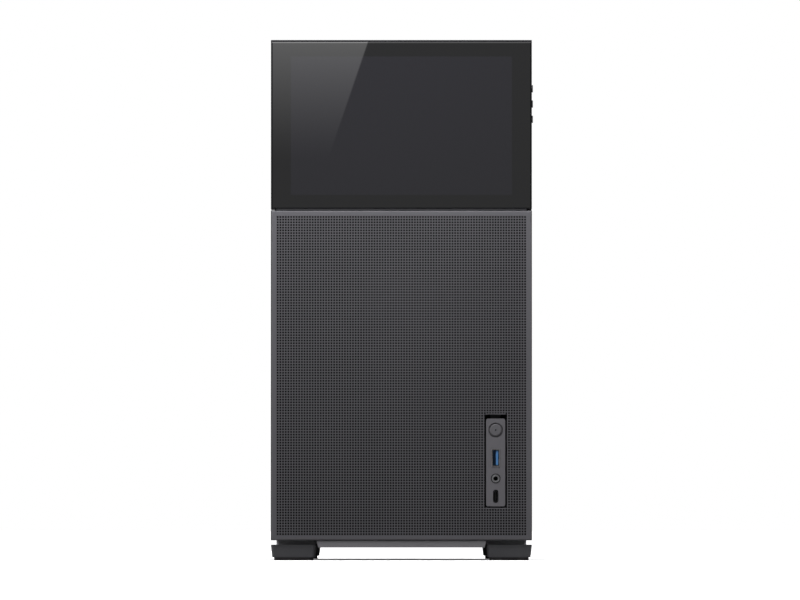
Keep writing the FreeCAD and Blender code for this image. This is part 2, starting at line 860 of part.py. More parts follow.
# Mesh panel at the front
panel_back = frame_y - seam_gap
panel_z = (body_bottom, screen_seam_height)
cut_out_x = (strip_x[0] - strip_gap, strip_x[1] + strip_gap)
cut_out_z = (strip_z[0] - strip_gap, strip_z[1] + strip_gap_above)
hole_columns = int((case_width - 2 * panel_border + hole_pitch - hole_size) / hole_pitch)


def mesh_slots(y):
    """The columns of holes as upright slots, broken by the cut-out for the socket strip."""
    low, high = inside(panel_z, panel_border)
    bar = hole_pitch - hole_size
    slots = []
    for offset in row(hole_columns, hole_pitch):
        span = around(offset, hole_size)
        if cut_out_x[0] < span[0] and span[1] < cut_out_x[1]:
            slots.append(box(span, y, (low, cut_out_z[0] - bar)))
            slots.append(box(span, y, (cut_out_z[1] + bar, high)))
        else:
            slots.append(box(span, y, (low, high)))
    return slots


def front_mesh_panel():
    """A folded pan of perforated steel that covers the lower front."""
    x = (-half_width, half_width)
    y = (front_y, panel_back)
    outer = box(x, y, panel_z)
    outer = outer.makeFillet(bend_radius, edges_on(outer, "y", front_y))
    inner_z = inside(panel_z, steel)
    pieces = [outer.cut(box(inside(x, steel), (y[0] + steel, y[1] + 1), inner_z))]
    for side in (-1, 1):
        edge = side * (half_width - steel)
        lip_x = sorted((edge - side * panel_lip, edge))
        pieces.append(box(lip_x, (y[1] - steel, y[1]), inner_z))
    pieces += [snap_stud(place, (0, 1, 0), seam_gap) for place in front_stud_places()]
    through = (y[0] - 1, y[0] + steel + 1)
    cut_out = rounded_block(cut_out_x, through, cut_out_z, strip_corner + 1, "Y")
    return without(joined(pieces), mesh_slots(through) + [cut_out])


def front_dust_filter():
    """A fine cloth filter that lines the mesh panel."""
    y = (front_y + steel + 0.2, front_y + steel + 0.8)
    margin = steel + seam_gap
    cloth = box((-half_width + margin, half_width - margin), y, inside(panel_z, margin))
    hole = box(inside(cut_out_x, -seam_gap), (y[0] - 1, y[1] + 1), inside(cut_out_z, -seam_gap))
    return cloth.cut(hole)


# Side panels and top cover
side_panel_y = (side_panel_front, rear_y)
side_panel_z = (body_bottom, side_panel_top)


def glass_side_panel():
    """The tempered glass of the left side, with ground edges."""
    x = (-half_width, -half_width + glass_thickness)
    glass = box(x, side_panel_y, side_panel_z)
    return glass.makeChamfer(0.5, edges_on(glass, "x", x[0]))


def glass_panel_frame():
    """The thin steel rim bonded behind the glass, with its studs."""
    x = (-half_width + glass_thickness, -half_width + side_panel_depth)
    y = inside(side_panel_y, steel)
    z = inside(side_panel_z, steel)
    window_y = inside(y, glass_frame_width)
    rim = box(x, y, z).cut(box((x[0] - 1, x[1] + 1), window_y, inside(z, glass_frame_width)))
    studs = [snap_stud(place, (1, 0, 0), seam_gap) for place in side_stud_places(-1)]
    return joined([rim] + studs)


vent_low = (frame_y + 22.0, board_bottom + 150.0)


def right_side_panel():
    """A folded steel panel with a field of vents beside the power supply."""
    x = (half_width - side_panel_depth, half_width)
    outer = box(x, side_panel_y, side_panel_z)
    outer = outer.makeFillet(bend_radius, edges_on(outer, "x", half_width))
    hollow = box((x[0] - 1, x[1] - steel), inside(side_panel_y, steel), inside(side_panel_z, steel))
    stand = seam_gap + side_panel_depth - steel
    studs = [snap_stud(place, (-1, 0, 0), stand) for place in side_stud_places(1)]
    through = (half_width - steel - 1, half_width + 1)
    vents = []
    for number in range(vent_columns):
        start = vent_low[0] + number * 2 * hole_pitch
        vent_y = (start, start + hole_pitch + hole_size)
        vents.append(box(through, vent_y, (vent_low[1], vent_low[1] + vent_height)))
    return without(joined([outer.cut(hollow)] + studs), vents)


top_vent_columns = int((case_width - 2 * top_vent_border) / (2 * hole_pitch))
top_vent_y = (frame_y + 26.0, rear_y - 26.0)


def top_cover():
    """The folded, vented cover that closes the top and reaches over the screen."""
    low = case_height - top_flange
    x = (-half_width, half_width)
    y = (frame_y + seam_gap, rear_y)
    under = (case_height - top_sheet, case_height)
    hollow = box(inside(x, steel), (y[0] - 1, y[1] - steel), (low - 1, under[0]))
    hood = box(x, (front_y + top_edge_setback, y[0] + 1), under)
    pieces = [box(x, y, (low, case_height)).cut(hollow), hood]
    cover = joined(pieces)
    cover = cover.makeChamfer(0.25, edges_on(cover, "z", case_height))
    stand = case_height - top_sheet - chassis_top
    studs = [snap_stud(place, (0, 0, -1), stand) for place in top_stud_places()]
    vents = []
    for offset in row(top_vent_columns, 2 * hole_pitch):
        vent_x = around(offset, hole_pitch + hole_size)
        vents.append(box(vent_x, top_vent_y, (under[0] - 1, under[1] + 1)))
    return without(joined([cover] + studs), vents)


# Screen module
screen_bottom = screen_seam_height + screen_seam
screen_top = case_height - top_sheet
screen_face = front_y + screen_glass
screen_back = frame_y - screen_wall
screen_board_y = (frame_y - 7.6, frame_y - 6.0)
screen_board_posts = (46.0, 24.0)
button_y = frame_y - 9.0
button_wall = half_width - screen_wall
button_board_x = (button_wall - 5.6, button_wall - 4.6)
button_switch_top = button_wall - 3.2
button_middle = display_centre_height + side_buttons_above_centre
button_heights = [button_middle + offset for offset in reversed(row(3, side_button_pitch))]


def pill(x, height, margin):
    """A pill shape along X round the middle of a screen button."""
    width = side_button_width + 2 * margin
    span_z = around(height, side_button_height + 2 * margin)
    return rounded_block(x, around(button_y, width), span_z, width / 2, "X")


def screen_housing():
    """The moulded tray behind the screen, with posts for its board and slots for its buttons."""
    x = (-half_width, half_width)
    z = (screen_bottom, screen_top)
    outer = box(x, (screen_face, frame_y), z)
    hollow_y = (screen_face - 1, screen_back)
    tray = outer.cut(box(inside(x, screen_wall), hollow_y, inside(z, screen_wall)))
    lip_x = inside(x, panel_notch_width)
    lip_low = screen_seam_height + seam_gap
    pieces = [
        tray,
        box(lip_x, (front_y + 0.4, frame_y - 1.0), (lip_low, screen_bottom)),
        box(lip_x, (screen_face, frame_y - 1.0), (lip_low, screen_bottom + screen_wall)),
    ]
    for dx, dz in grid(2, 2 * screen_board_posts[0], 2, 2 * screen_board_posts[1]):
        post_z = around(display_centre_height + dz, 6.0)
        pieces.append(box(around(dx, 6.0), (screen_board_y[1], screen_back), post_z))
    shelf_y = (screen_face + display_thickness, screen_face + display_thickness + 2.0)
    shelf_z = around(display_centre_height, 20.0)
    edge = display_width / 2 + display_frame
    rib_x = (button_board_x[0] - 2.0, button_board_x[0] - seam_gap)
    pieces.append(box((-half_width + screen_wall, -edge + 2.0), shelf_y, shelf_z))
    pieces.append(box((edge - 2.0, rib_x[1]), shelf_y, shelf_z))
    pieces.append(box(rib_x, (shelf_y[0], screen_back), shelf_z))
    cutters = []
    for height in button_heights:
        cutters.append(pill((button_wall - 1, half_width + 1), height, button_clearance))
    for centre, size in zip(screen_port_x, screen_port_size):
        port_x = around(centre, size[0] + 2 * seam_gap)
        port_z = around(screen_port_height, size[1] + 2 * seam_gap)
        cutters.append(box(port_x, (screen_back - 1, frame_y + 1), port_z))
    return without(joined(pieces), cutters)


def screen_cover_glass():
    """The glass across the whole upper front, with a bevelled edge."""
    x = inside((-half_width, half_width), 0.5)
    glass = box(x, (front_y, screen_face), (screen_bottom + 0.1, screen_top - 0.2))
    return glass.makeChamfer(screen_bevel, edges_on(glass, "y", front_y))


def display_panel():
    """The display itself, a sealed slab with its lit area a little sunk."""
    x = around(0, display_width)
    z = around(display_centre_height, display_height)
    slab_y = (screen_face, screen_face + display_thickness)
    slab = box(inside(x, -display_frame), slab_y, inside(z, -display_frame))
    return slab.cut(box(x, (screen_face - 1, screen_face + 0.3), z))


def screen_board():
    """The driver board of the screen, on the posts of the housing."""
    x = inside((-screen_board_posts[0], screen_board_posts[0]), -6.0)
    z = around(display_centre_height, 2 * screen_board_posts[1] + 12.0)
    return box(x, screen_board_y, z)


def screen_board_ports():
    """The two sockets on the back of the screen's board."""
    ports = []
    for centre, size in zip(screen_port_x, screen_port_size):
        x = around(centre, size[0])
        y = (screen_board_y[1], frame_y - 0.4)
        z = around(screen_port_height, size[1])
        hollow = box(inside(x, 0.5), (y[1] - 4.0, y[1] + 1), inside(z, 0.5))
        ports.append(box(x, y, z).cut(hollow))
    return Part.makeCompound(ports)


def screen_button(height):
    """A pill-shaped button with a flange behind the wall and a stem to its switch."""
    flange_x = (button_wall - 0.9, button_wall - 0.1)
    cap = pill((flange_x[1], half_width + side_button_proud), height, 0)
    flange_y = around(button_y, side_button_width + 1.6)
    flange = box(flange_x, flange_y, around(height, side_button_height + 1.6))
    stem_end = button_switch_top + side_button_travel + 0.2
    stem = box((stem_end, flange_x[0]), around(button_y, 2.0), around(height, 2.0))
    return joined([cap, flange, stem])


def screen_button_board():
    """The strip of board behind the buttons, with a switch for each."""
    z = inside((button_heights[-1], button_heights[0]), -8.0)
    pieces = [box(button_board_x, (button_y - 5.0, screen_back), z)]
    for height in button_heights:
        switch_x = (button_board_x[1], button_switch_top)
        pieces.append(box(switch_x, around(button_y, 3.6), around(height, 3.6)))
    return joined(pieces)


# Socket strip
strip_face_y = front_y + strip_face_setback
io_board_y = (frame_y - 1.6, frame_y)
strip_ear = (8.0, 7.0, 5.0)


def io_housing():
    """The moulded strip that shows through the mesh, hollow behind its face."""
    outer_y = (strip_face_y, io_board_y[0])
    outer = rounded_block(strip_x, outer_y, strip_z, strip_corner, "Y")
    ears = box(
        around(strip_centre_x, strip_ear[0]),
        (frame_y - strip_ear[2], frame_y),
        inside(strip_z, -strip_ear[1]),
    )
    hollow_y = (strip_face_y + strip_face, frame_y + 1)
    front = (strip_face_y - 1, strip_face_y + strip_face + 1)
    button_hole = power_button_radius + power_button_gap
    usb_a_x = around(strip_centre_x, usb_a_size[0] + 2 * seam_gap)
    usb_a_z = around(usb_a_height, usb_a_size[1] + 2 * seam_gap)
    usb_c_x = around(strip_centre_x, usb_c_opening[0])
    usb_c_z = around(usb_c_height, usb_c_opening[1])
    cutters = [
        box(inside(strip_x, strip_wall), hollow_y, inside(strip_z, strip_wall)),
        box(usb_a_x, front, usb_a_z),
        rounded_block(usb_c_x, front, usb_c_z, usb_c_opening[0] / 2, "Y"),
    ]
    for height, radius in (
        (power_button_height, button_hole),
        (jack_height, jack_nose_radius + press_gap),
    ):
        start = (strip_centre_x, front[0], height)
        cutters.append(rod(radius, start, (strip_centre_x, front[1], height)))
    return without(joined([outer, ears]), cutters)


def io_board():
    """The board behind the sockets, clamped between the strip and the front frame."""
    return box(inside(strip_x, strip_wall + 0.3), io_board_y, inside(strip_z, strip_wall + 0.3))


def power_button():
    """A round button with a sloping rim and a hollow stem for its light."""
    flange = power_button_radius + power_button_gap + 0.35
    stem = 2.0
    profile = [
        (power_light_radius, 0),
        (power_button_top, 0),
        (power_button_radius, 0.8),
        (power_button_radius, strip_face + 0.2),
        (flange, strip_face + 0.2),
        (flange, strip_face + 1.2),
        (stem, strip_face + 1.2),
        (stem, power_button_depth),
        (power_light_radius, power_button_depth),
    ]
    return turned(profile, (strip_centre_x, strip_face_y, power_button_height), (0, 1, 0))


def power_light():
    """The light pipe in the middle of the power button."""
    start = (strip_centre_x, strip_face_y, power_button_height)
    end = (strip_centre_x, strip_face_y + power_button_depth, power_button_height)
    return rod(power_light_radius, start, end)


def power_switch():
    """The push switch behind the power button."""
    front = strip_face_y + power_button_depth + power_button_travel + seam_gap
    span_z = around(power_button_height, 6.0)
    return box(around(strip_centre_x, 6.0), (front, io_board_y[0]), span_z)


def usb_a_shell():
    """A bent steel shell, open to the front."""
    x = around(strip_centre_x, usb_a_size[0])
    z = around(usb_a_height, usb_a_size[1])
    y = (strip_face_y + 0.1, io_board_y[0])
    return box(x, y, z).cut(box(inside(x, shell_wall), (y[0] - 1, y[1] + 1), inside(z, shell_wall)))


def usb_a_tongue():
    """The blue insulator: a block at the back and a tongue for the contacts."""
    x = around(strip_centre_x, usb_a_size[0] - 2 * shell_wall)
    z = around(usb_a_height, usb_a_size[1] - 2 * shell_wall)
    back = io_board_y[0]
    block = box(x, (back - 3.0, back), z)
    tongue_x = (strip_centre_x + 0.2, strip_centre_x + 2.0)
    tongue = box(tongue_x, (strip_face_y + 0.8, back - 2.0), inside(z, 0.6))
    return joined([block, tongue])


def audio_jack():
    """A headphone socket: a round nose on a square body, bored for a 3.5 mm plug."""
    nose_start = (strip_centre_x, front_y + strip_face_setback / 2, jack_height)
    body_y = (strip_face_y + strip_face + 0.4, io_board_y[0])
    nose = rod(jack_nose_radius, nose_start, (strip_centre_x, body_y[0], jack_height))
    body = box(around(strip_centre_x, 8.0), body_y, around(jack_height, 7.4))
    bore_start = (strip_centre_x, front_y - 1, jack_height)
    bore = rod(jack_bore_radius, bore_start, (strip_centre_x, body_y[1] - 1.0, jack_height))
    return joined([nose, body]).cut(bore)


def usb_c_shell():
    """An oval steel shell, set a little behind the face."""
    y = (strip_face_y + 0.6, io_board_y[0])
    x = around(strip_centre_x, usb_c_size[0])
    z = around(usb_c_height, usb_c_size[1])
    outer = rounded_block(x, y, z, usb_c_size[0] / 2, "Y")
    inner_x = inside(x, shell_wall)
    through = (y[0] - 1, y[1] + 1)
    radius = usb_c_size[0] / 2 - shell_wall
    return outer.cut(rounded_block(inner_x, through, inside(z, shell_wall), radius, "Y"))


def usb_c_tongue():
    """The insulator of the oval socket."""
    back = io_board_y[0]
    radius = usb_c_size[0] / 2 - shell_wall
    x = around(strip_centre_x, 2 * radius)
    z = around(usb_c_height, usb_c_size[1] - 2 * shell_wall)
    block = rounded_block(x, (back - 5.0, back), z, radius, "Y")
    tongue_y = (strip_face_y + 1.8, back - 4.0)
    tongue = box(around(strip_centre_x, 0.7), tongue_y, around(usb_c_height, 6.6))
    return joined([block, tongue])


# Dust filter under the base
filter_clearance = 0.4
filter_thickness = 3.3
filter_lip_height = 5.3
filter_cloth = 0.6
filter_rib = 3.0
filter_border = 4.0
filter_windows = (3, 5)
rail_ledge = 0.8
rail_web = 1.4
rail_half = foot_inner - filter_clearance
filter_half_width = rail_half - rail_web - seam_gap
filter_top = body_bottom - seam_gap
filter_z = (filter_top - filter_thickness, filter_top)
filter_y = (frame_y + 4.0, rear_y - 12.0)
filter_lip_y = (front_y + 4.0, front_y + 6.5)
filter_lip_slope = 1.3


def filter_frame():
    """The sliding frame of the dust filter, with a lip to pull it by."""
    frame = box((-filter_half_width, filter_half_width), filter_y, filter_z)
    neck_half = filter_half_width - 7.0
    neck = box((-neck_half, neck_half), (filter_lip_y[0] + 1, filter_y[0] + 1), filter_z)
    low = filter_top - filter_lip_height
    low_half = rail_half - filter_lip_slope
    points = [(-rail_half, filter_top), (rail_half, filter_top), (low_half, low), (-low_half, low)]
    lip = outline_block(points, filter_lip_y, "Y")
    clear_x = 2 * filter_half_width - 2 * filter_border + filter_rib
    clear_y = filter_y[1] - filter_y[0] - 2 * filter_border + filter_rib
    pitch_x = clear_x / filter_windows[0]
    pitch_y = clear_y / filter_windows[1]
    through = (filter_z[0] - 1, filter_z[1] + 1)
    cutters = []
    for dx, dy in grid(filter_windows[0], pitch_x, filter_windows[1], pitch_y):
        window_y = around(sum(filter_y) / 2 + dy, pitch_y - filter_rib)
        cutters.append(box(around(dx, pitch_x - filter_rib), window_y, through))
    groove_x = inside((-filter_half_width, filter_half_width), 2.4)
    groove_z = around(sum(filter_z) / 2, filter_cloth + 2 * press_gap)
    cutters.append(box(groove_x, inside(filter_y, 2.4), groove_z))
    return without(joined([frame, neck, lip]), cutters)


def filter_mesh():
    """The fine cloth held in the groove of the filter frame."""
    x = inside((-filter_half_width, filter_half_width), 2.6)
    return box(x, inside(filter_y, 2.6), around(sum(filter_z) / 2, filter_cloth))


def filter_rails():
    """Two folded rails under the base that the filter slides in."""
    ledge_top = filter_z[0] - seam_gap
    rails = []
    for side in (-1, 1):
        web_x = sorted((side * (rail_half - rail_web), side * rail_half))
        ledge_x = sorted((side * (filter_half_width - 2.6), side * rail_half))
        web = box(web_x, filter_y, (ledge_top - rail_ledge, body_bottom))
        ledge = box(ledge_x, filter_y, (ledge_top - rail_ledge, ledge_top))
        rails.append(joined([web, ledge]))
    return Part.makeCompound(rails)


def all_pieces():
    """Every piece of the case by name."""
    pieces = {
        "base_pan": base_pan(),
        "top_frame": top_frame(),
        "front_frame": front_frame(),
        "rear_panel": rear_panel(),
        "motherboard_tray": motherboard_tray(),
        "motherboard_standoffs": motherboard_standoffs(),
        "slot_thumbscrews": slot_thumbscrews(),
        "power_inlet": power_inlet(),
        "power_inlet_pins": power_inlet_pins(),
        "psu_bracket": psu_bracket(),
        "drive_tray": drive_tray(),
        "ssd_bracket_lower": ssd_bracket(ssd_centres_z[0]),
        "ssd_bracket_upper": ssd_bracket(ssd_centres_z[1]),
        "panel_sockets": panel_sockets(),
        "filter_rails": filter_rails(),
        "filter_frame": filter_frame(),
        "filter_mesh": filter_mesh(),
        "front_mesh_panel": front_mesh_panel(),
        "front_dust_filter": front_dust_filter(),
        "glass_side_panel": glass_side_panel(),
        "glass_panel_frame": glass_panel_frame(),
        "right_side_panel": right_side_panel(),
        "top_cover": top_cover(),
        "screen_housing": screen_housing(),
        "screen_cover_glass": screen_cover_glass(),
        "display_panel": display_panel(),
        "screen_board": screen_board(),
        "screen_board_ports": screen_board_ports(),
        "screen_button_board": screen_button_board(),
        "io_housing": io_housing(),
        "io_board": io_board(),
        "power_button": power_button(),
        "power_light": power_light(),
        "power_switch": power_switch(),
        "usb_a_shell": usb_a_shell(),
        "usb_a_tongue": usb_a_tongue(),
        "audio_jack": audio_jack(),
        "usb_c_shell": usb_c_shell(),
        "usb_c_tongue": usb_c_tongue(),
    }
    for end, y in foot_ranges.items():
        for side, side_name in ((-1, "left"), (1, "right")):
            pieces[f"foot_{end}_{side_name}"] = foot(side, y)
            pieces[f"foot_pad_{end}_{side_name}"] = foot_pad(side, y)
    for number, height in enumerate(slot_heights, 1):
        pieces[f"slot_cover_{number}"] = slot_cover(height)
    for number, height in enumerate(button_heights, 1):
        pieces[f"screen_button_{number}"] = screen_button(height)
    return pieces


def main():
    """Writes each piece to its own file."""
    os.makedirs("parts", exist_ok=True)
    for name, shape in all_pieces().items():
        shape.exportStep(f"parts/{name}.step")


main()
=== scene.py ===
import bpy
import bmesh
import math
from mathutils import Matrix, Vector

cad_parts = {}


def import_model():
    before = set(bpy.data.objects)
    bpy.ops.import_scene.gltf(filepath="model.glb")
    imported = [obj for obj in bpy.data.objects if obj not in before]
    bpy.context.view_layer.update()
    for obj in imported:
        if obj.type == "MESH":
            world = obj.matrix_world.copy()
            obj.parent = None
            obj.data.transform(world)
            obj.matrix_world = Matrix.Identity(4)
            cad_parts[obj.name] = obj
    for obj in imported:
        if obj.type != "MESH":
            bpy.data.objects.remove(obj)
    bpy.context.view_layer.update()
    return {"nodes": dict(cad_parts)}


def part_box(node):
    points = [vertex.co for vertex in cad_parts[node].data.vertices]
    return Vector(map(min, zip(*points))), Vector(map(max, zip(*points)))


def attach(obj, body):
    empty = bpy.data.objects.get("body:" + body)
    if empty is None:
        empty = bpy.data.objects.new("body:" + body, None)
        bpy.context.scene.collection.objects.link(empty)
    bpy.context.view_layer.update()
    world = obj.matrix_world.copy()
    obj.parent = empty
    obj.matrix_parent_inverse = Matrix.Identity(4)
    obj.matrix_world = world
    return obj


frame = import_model()
nodes = frame["nodes"]
MM = 0.001


# ---------------------------------------------------------------- materials

class Shader:
    """A Principled material whose colour, roughness and relief come from nodes."""

    def __init__(self, name, colour, roughness, metallic=0.0):
        self.material = bpy.data.materials.new(name)
        self.material.use_nodes = True
        self.tree = self.material.node_tree
        self.surface = self.tree.nodes["Principled BSDF"]
        self.surface.inputs["Metallic"].default_value = metallic
        self.surface.inputs["Roughness"].default_value = roughness
        self.surface.inputs["Base Color"].default_value = (*colour, 1)
        self.colour = (*colour, 1)
        self.place = self.add("ShaderNodeTexCoord").outputs["Object"]
        self.height = None

    def add(self, kind, **values):
        node = self.tree.nodes.new(kind)
        for key, value in values.items():
            setattr(node, key, value)
        return node

    def link(self, out, into):
        self.tree.links.new(out, into)

    def noise(self, scale, detail=2.0, stretch=None):
        node = self.add("ShaderNodeTexNoise")
        node.inputs["Scale"].default_value = scale
        node.inputs["Detail"].default_value = detail
        source = self.place
        if stretch:
            mapping = self.add("ShaderNodeMapping")
            mapping.inputs["Scale"].default_value = stretch
            self.link(source, mapping.inputs["Vector"])
            source = mapping.outputs["Vector"]
        self.link(source, node.inputs["Vector"])
        return node.outputs["Fac"]

    def spread(self, value, low, high):
        node = self.add("ShaderNodeMapRange")
        node.inputs["From Min"].default_value = 0.3
        node.inputs["From Max"].default_value = 0.7
        node.inputs["To Min"].default_value = low
        node.inputs["To Max"].default_value = high
        self.link(value, node.inputs["Value"])
        return node.outputs["Result"]

    def vary_colour(self, value, amount):
        """Makes the colour lighter and darker with a texture."""
        mix = self.add("ShaderNodeMix", data_type="RGBA")
        dark = [c * (1 - amount) for c in self.colour[:3]]
        light = [c * (1 + amount) for c in self.colour[:3]]
        mix.inputs["A"].default_value = (*dark, 1)
        mix.inputs["B"].default_value = (*light, 1)
        self.link(self.spread(value, 0, 1), mix.inputs["Factor"])
        self.link(mix.outputs["Result"], self.surface.inputs["Base Color"])

    def vary_roughness(self, value, amount):
        base = self.surface.inputs["Roughness"].default_value
        self.link(self.spread(value, base - amount, base + amount), self.surface.inputs["Roughness"])

    def relief(self, value, depth_mm, strength):
        bump = self.add("ShaderNodeBump")
        bump.inputs["Strength"].default_value = strength
        bump.inputs["Distance"].default_value = depth_mm * MM
        self.link(value, bump.inputs["Height"])
        if self.height:
            self.link(self.height, bump.inputs["Normal"])
        self.height = bump.outputs["Normal"]
        self.link(self.height, self.surface.inputs["Normal"])

    def colour_over(self, colour, factor):
        """Lays a colour over the present one where factor is 1."""
        mix = self.add("ShaderNodeMix", data_type="RGBA")
        source = self.surface.inputs["Base Color"].links
        if source:
            self.link(source[0].from_socket, mix.inputs["A"])
        else:
            mix.inputs["A"].default_value = self.colour
        mix.inputs["B"].default_value = (*colour, 1)
        self.link(factor, mix.inputs["Factor"])
        self.link(mix.outputs["Result"], self.surface.inputs["Base Color"])

    def where(self, axis, value, colour, above=True):
        """Another colour beyond a plane of the object, given in mm."""
        parts = self.add("ShaderNodeSeparateXYZ")
        self.link(self.place, parts.inputs["Vector"])
        test = self.add("ShaderNodeMath", operation="GREATER_THAN" if above else "LESS_THAN")
        test.inputs[1].default_value = value * MM
        self.link(parts.outputs[axis], test.inputs[0])
        self.colour_over(colour, test.outputs["Value"])

    def painted_edge_highlight(self, amount):
        """Edges a little lighter: a painted highlight, as if the rounded edges caught the light."""
        bevel = self.add("ShaderNodeBevel", samples=4)
        bevel.inputs["Radius"].default_value = 0.5 * MM
        geometry = self.add("ShaderNodeNewGeometry")
        dot = self.add("ShaderNodeVectorMath", operation="DOT_PRODUCT")
        self.link(bevel.outputs["Normal"], dot.inputs[0])
        self.link(geometry.outputs["Normal"], dot.inputs[1])
        edge = self.add("ShaderNodeMapRange")
        edge.inputs["From Min"].default_value = 0.99
        edge.inputs["From Max"].default_value = 0.80
        self.link(dot.outputs["Value"], edge.inputs["Value"])
        light = [c * (1 + amount) + 0.01 for c in self.colour[:3]]
        self.colour_over(light, edge.outputs["Result"])


def powder_coat(name, colour, roughness=0.5, others=(), edge_highlight=True):
    """Fine textured powder coat on steel sheet; others are colours beyond planes; the edges can get a
    painted highlight.
    """
    coat = Shader(name, colour, roughness)
    coat.surface.inputs["Specular IOR Level"].default_value = 0.4
    coat.vary_colour(coat.noise(9.0, 3.0), 0.04)
    coat.vary_roughness(coat.noise(900.0), 0.06)
    coat.relief(coat.noise(1500.0, 2.0), 0.03, 0.5)
    # painted highlight: the edges of the coat drawn a little lighter, found with a bevel
    if edge_highlight:
        coat.painted_edge_highlight(0.2)
    for other in others:
        coat.where(*other)
    return coat.material


def moulded(name, colour, roughness=0.55, grain=1100.0, depth=0.03, other=None):
    """Injection moulded plastic with a spark-eroded texture; other is a colour beyond a plane."""
    plastic = Shader(name, colour, roughness)
    plastic.vary_colour(plastic.noise(14.0, 2.0), 0.05)
    if other:
        plastic.where(*other)
    plastic.vary_roughness(plastic.noise(grain * 0.6), 0.05)
    plastic.relief(plastic.noise(grain, 3.0), depth, 0.5)
    return plastic.material


def plated(name, colour, roughness, stretch):
    """Plated or turned metal with fine directional marks."""
    metal = Shader(name, colour, roughness, 1.0)
    lines = metal.noise(400.0, 3.0, stretch)
    metal.vary_roughness(lines, 0.08)
    metal.vary_colour(metal.noise(60.0, 2.0), 0.06)
    metal.relief(lines, 0.01, 0.4)
    return metal.material


def woven(name, colour, pitch_mm):
    """Fine cloth: two crossing sets of threads."""
    cloth = Shader(name, colour, 0.85)
    waves = []
    for axes in (("X",), ("Y", "Z")):
        for axis in axes:
            wave = cloth.add("ShaderNodeTexWave", wave_type="BANDS", bands_direction=axis)
            wave.inputs["Scale"].default_value = 0.31416 / (pitch_mm * MM)
            wave.inputs["Distortion"].default_value = 0.0
            cloth.link(cloth.place, wave.inputs["Vector"])
            waves.append(wave.outputs["Fac"])
    most = waves[0]
    for wave in waves[1:]:
        top = cloth.add("ShaderNodeMath", operation="MAXIMUM")
        cloth.link(most, top.inputs[0])
        cloth.link(wave, top.inputs[1])
        most = top.outputs["Value"]
    cloth.vary_colour(most, 0.5)
    cloth.relief(most, pitch_mm * 0.3, 0.8)
    return cloth.material


def black_glass(name):
    """Polished glass, printed black behind, with the screen's area a shade lighter."""
    printed = (0.0030, 0.0030, 0.0034)
    screen = (0.0062, 0.006, 0.0085)
    edge = 0.15
    glass = Shader(name, printed, 0.04)
    glass.surface.inputs["IOR"].default_value = 1.5
    parts = glass.add("ShaderNodeSeparateXYZ")
    glass.link(glass.place, parts.inputs["Vector"])
    masks = []
    for out, centre, half in (("X", 0.0, 86.8), ("Z", 341.4, 54.4)):
        offset = glass.add("ShaderNodeMath", operation="SUBTRACT")
        offset.inputs[1].default_value = centre * MM
        glass.link(parts.outputs[out], offset.inputs[0])
        size = glass.add("ShaderNodeMath", operation="ABSOLUTE")
        glass.link(offset.outputs["Value"], size.inputs[0])
        within = glass.add("ShaderNodeMapRange")
        within.inputs["From Min"].default_value = (half + edge) * MM
        within.inputs["From Max"].default_value = (half - edge) * MM
        glass.link(size.outputs["Value"], within.inputs["Value"])
        masks.append(within.outputs["Result"])
    both = glass.add("ShaderNodeMath", operation="MULTIPLY")
    glass.link(masks[0], both.inputs[0])
    glass.link(masks[1], both.inputs[1])
    mix = glass.add("ShaderNodeMix", data_type="RGBA")
    mix.inputs["A"].default_value = (*printed, 1)
    mix.inputs["B"].default_value = (*screen, 1)
    glass.link(both.outputs["Value"], mix.inputs["Factor"])
    glass.link(mix.outputs["Result"], glass.surface.inputs["Base Color"])
    smudge = glass.spread(glass.noise(30.0, 4.0), 0.008, 0.016)
    glass.link(smudge, glass.surface.inputs["Roughness"])
    return glass.material


def tinted_glass(name):
    glass = Shader(name, (0.010, 0.011, 0.012), 0.02)
    glass.surface.inputs["IOR"].default_value = 1.5
    alpha = glass.spread(glass.noise(6.0, 2.0), 0.50, 0.54)
    glass.link(alpha, glass.surface.inputs["Alpha"])
    glass.link(glass.spread(glass.noise(25.0, 3.0), 0.012, 0.03), glass.surface.inputs["Roughness"])
    return glass.material


def circuit_board(name):
    board = Shader(name, (0.008, 0.010, 0.009), 0.4)
    tracks = board.add("ShaderNodeTexBrick")
    tracks.inputs["Scale"].default_value = 260.0
    tracks.inputs["Mortar Size"].default_value = 0.05
    board.link(board.place, tracks.inputs["Vector"])
    board.vary_colour(tracks.outputs["Fac"], 0.5)
    board.relief(tracks.outputs["Fac"], 0.02, 0.6)
    return board.material


graphite = (0.101, 0.099, 0.109)
# painted shade: the front panel much darker beyond 101.9 mm either side, on its rounded side edges
painted_shade_edge = (0.022, 0.022, 0.024)
shaded_side_bands = [("X", -101.9, painted_shade_edge, False), ("X", 101.9, painted_shade_edge)]
glass_shadow = [("Y", -218.5, (0.012, 0.012, 0.014), False)]
# painted light: the feet much lighter above 12.4 mm, where their necks sit in shade under the case
painted_light_neck = ("Z", 12.4, (0.34, 0.34, 0.36))
lip_grey = ("Z", 276.12, (0.027, 0.027, 0.030), False)
# painted light: the filter frame's pull lip in front of -212 mm made light grey, though it sits in shade
# under the front panel
painted_light_pull = ("Y", -212.0, (0.34, 0.335, 0.355), False)
steel_grey = powder_coat("graphite_powder_coat", graphite, 0.52, edge_highlight=False)
front_grey = powder_coat("front_powder_coat", graphite, 0.52, shaded_side_bands, False)
steel_black = powder_coat("black_powder_coat", (0.030, 0.030, 0.032), 0.5)
cover_grey = powder_coat("cover_powder_coat", graphite, 0.52, glass_shadow)
lip_plastic = moulded("lip_plastic", (0.006, 0.006, 0.007), 0.5, other=lip_grey)
